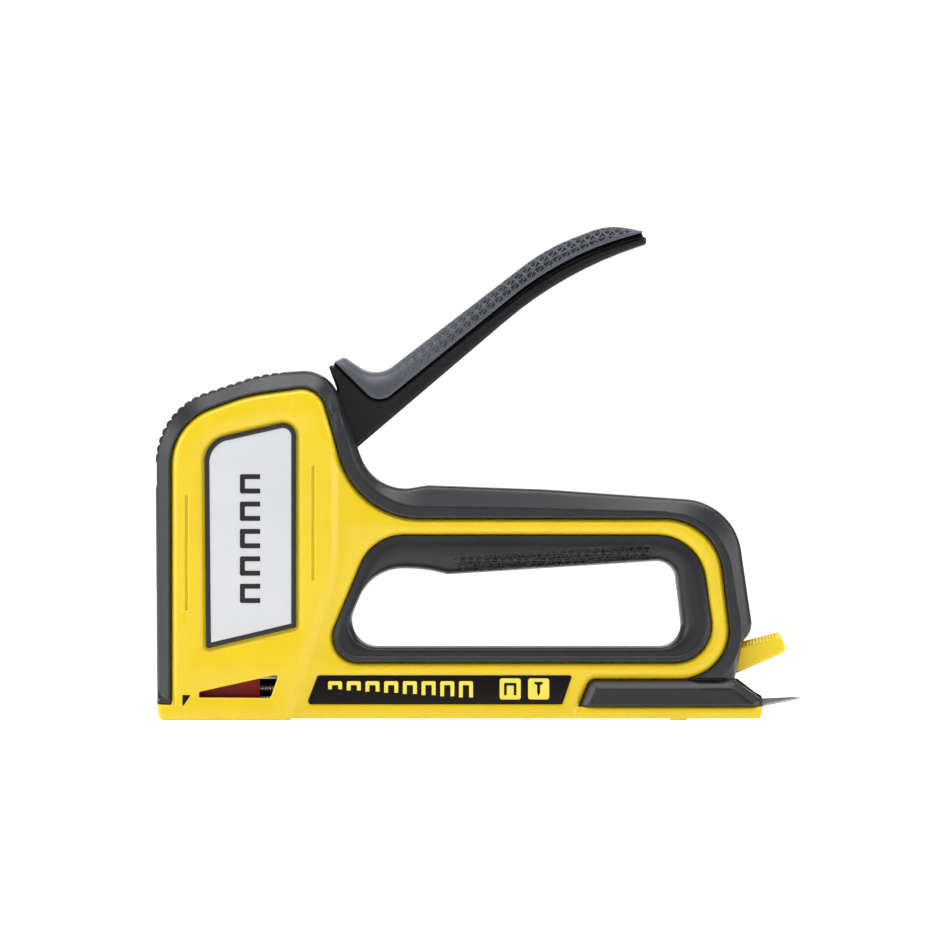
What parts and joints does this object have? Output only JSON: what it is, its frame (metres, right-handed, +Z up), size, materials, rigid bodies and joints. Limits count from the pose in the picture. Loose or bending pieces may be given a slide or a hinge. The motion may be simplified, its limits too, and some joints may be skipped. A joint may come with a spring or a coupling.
{
  "type": "hand staple gun",
  "caption": "Hand-squeezed staple gun with a D-shaped grip, spring-driven blade, slide-out staple magazine and staple remover.",
  "frame": {"origin": "staple exit: where the driver blade's plane meets the sole, midway across the width", "axes": "+X from the nose to the rear, +Y across the width towards the side with the screws, +Z up"},
  "size_m": [0.1933, 0.0332, 0.1479],
  "materials": {
    "shell_yellow": "fine moulded satin",
    "soft_grey": "matte soft overmould",
    "liner_black": "matte soft overmould with a fine diamond texture",
    "trim_black": "semi-gloss",
    "badge_silver": "satin silver film",
    "label_black": "semi-gloss film",
    "print_yellow": "printed film",
    "plain_steel": "pressed sheet and turned pins",
    "spring_steel": "drawn and tempered",
    "blade_steel": "ground",
    "buffer_rubber": "matte",
    "black_screws": "black oxide",
    "lever_black": "fine moulded satin",
    "pad_grey": "matte soft overmould with raised triangles",
    "cast_plunger": "grey zinc casting",
    "pusher_red": "moulded satin",
    "tab_yellow": "fine moulded satin"
  },
  "bodies": {
    "housing": {"left_shell": "shell_yellow", "right_shell": "shell_yellow", "left_cover": "soft_grey", "right_cover": "soft_grey", "left_liner": "liner_black", "right_liner": "liner_black", "left_badge_frame": "trim_black", "right_badge_frame": "trim_black", "left_badge_plate": "badge_silver", "right_badge_plate": "badge_silver", "left_label": "label_black", "right_label": "label_black", "left_label_print": "print_yellow", "right_label_print": "print_yellow", "drive_marks": "label_black", "nose_plate": "plain_steel", "staple_channel": "plain_steel", "plunger_bumper": "buffer_rubber", "spring_seat": "plain_steel", "shell_screws": "black_screws", "lever_pin": "plain_steel", "latch_pin": "plain_steel", "latch_spring": "spring_steel"},
    "lever": {"lever_core": "lever_black", "lever_pad": "pad_grey", "lever_arm": "plain_steel", "lever_roller": "plain_steel"},
    "driver": {"plunger": "cast_plunger", "driver_blade": "spring_steel", "power_spring": "spring_steel"},
    "magazine": {"magazine_rail": "plain_steel", "magazine_tail": "lever_black", "staple_remover": "blade_steel", "guide_rod": "plain_steel"},
    "pusher": {"pusher": "pusher_red", "feed_spring": "spring_steel"},
    "latch": {"latch_tab": "tab_yellow"}
  },
  "joints": [
    {"name": "lever_squeeze", "type": "hinge", "parent": "housing", "child": "lever", "pos_m": [0.044, 0, 0.087], "axis": [0, 1, 0], "range_deg": [0, 32], "stiffness_Nm_per_rad": 2, "springref_deg": -14.32},
    {"name": "driver_lift", "type": "slide", "parent": "housing", "child": "driver", "axis": [0, 0, 1], "range_m": [0, 0.014], "deforming": ["power_spring"]},
    {"name": "magazine_slide", "type": "slide", "parent": "housing", "child": "magazine", "axis": [1, 0, 0], "range_m": [0, 0.11]},
    {"name": "pusher_feed", "type": "slide", "parent": "magazine", "child": "pusher", "axis": [1, 0, 0], "range_m": [0, 0.09], "stiffness_N_per_m": 30, "springref_m": -0.03, "deforming": ["feed_spring"]},
    {"name": "latch_press", "type": "hinge", "parent": "housing", "child": "latch", "pos_m": [0.163, 0, 0.018], "axis": [0, 1, 0], "range_deg": [0, 10], "stiffness_Nm_per_rad": 0.3, "springref_deg": -11.46}
  ],
  "couplings": [
    {"joint": "driver_lift", "follows": "lever_squeeze", "m_per_rad": 0.0249}
  ]
}
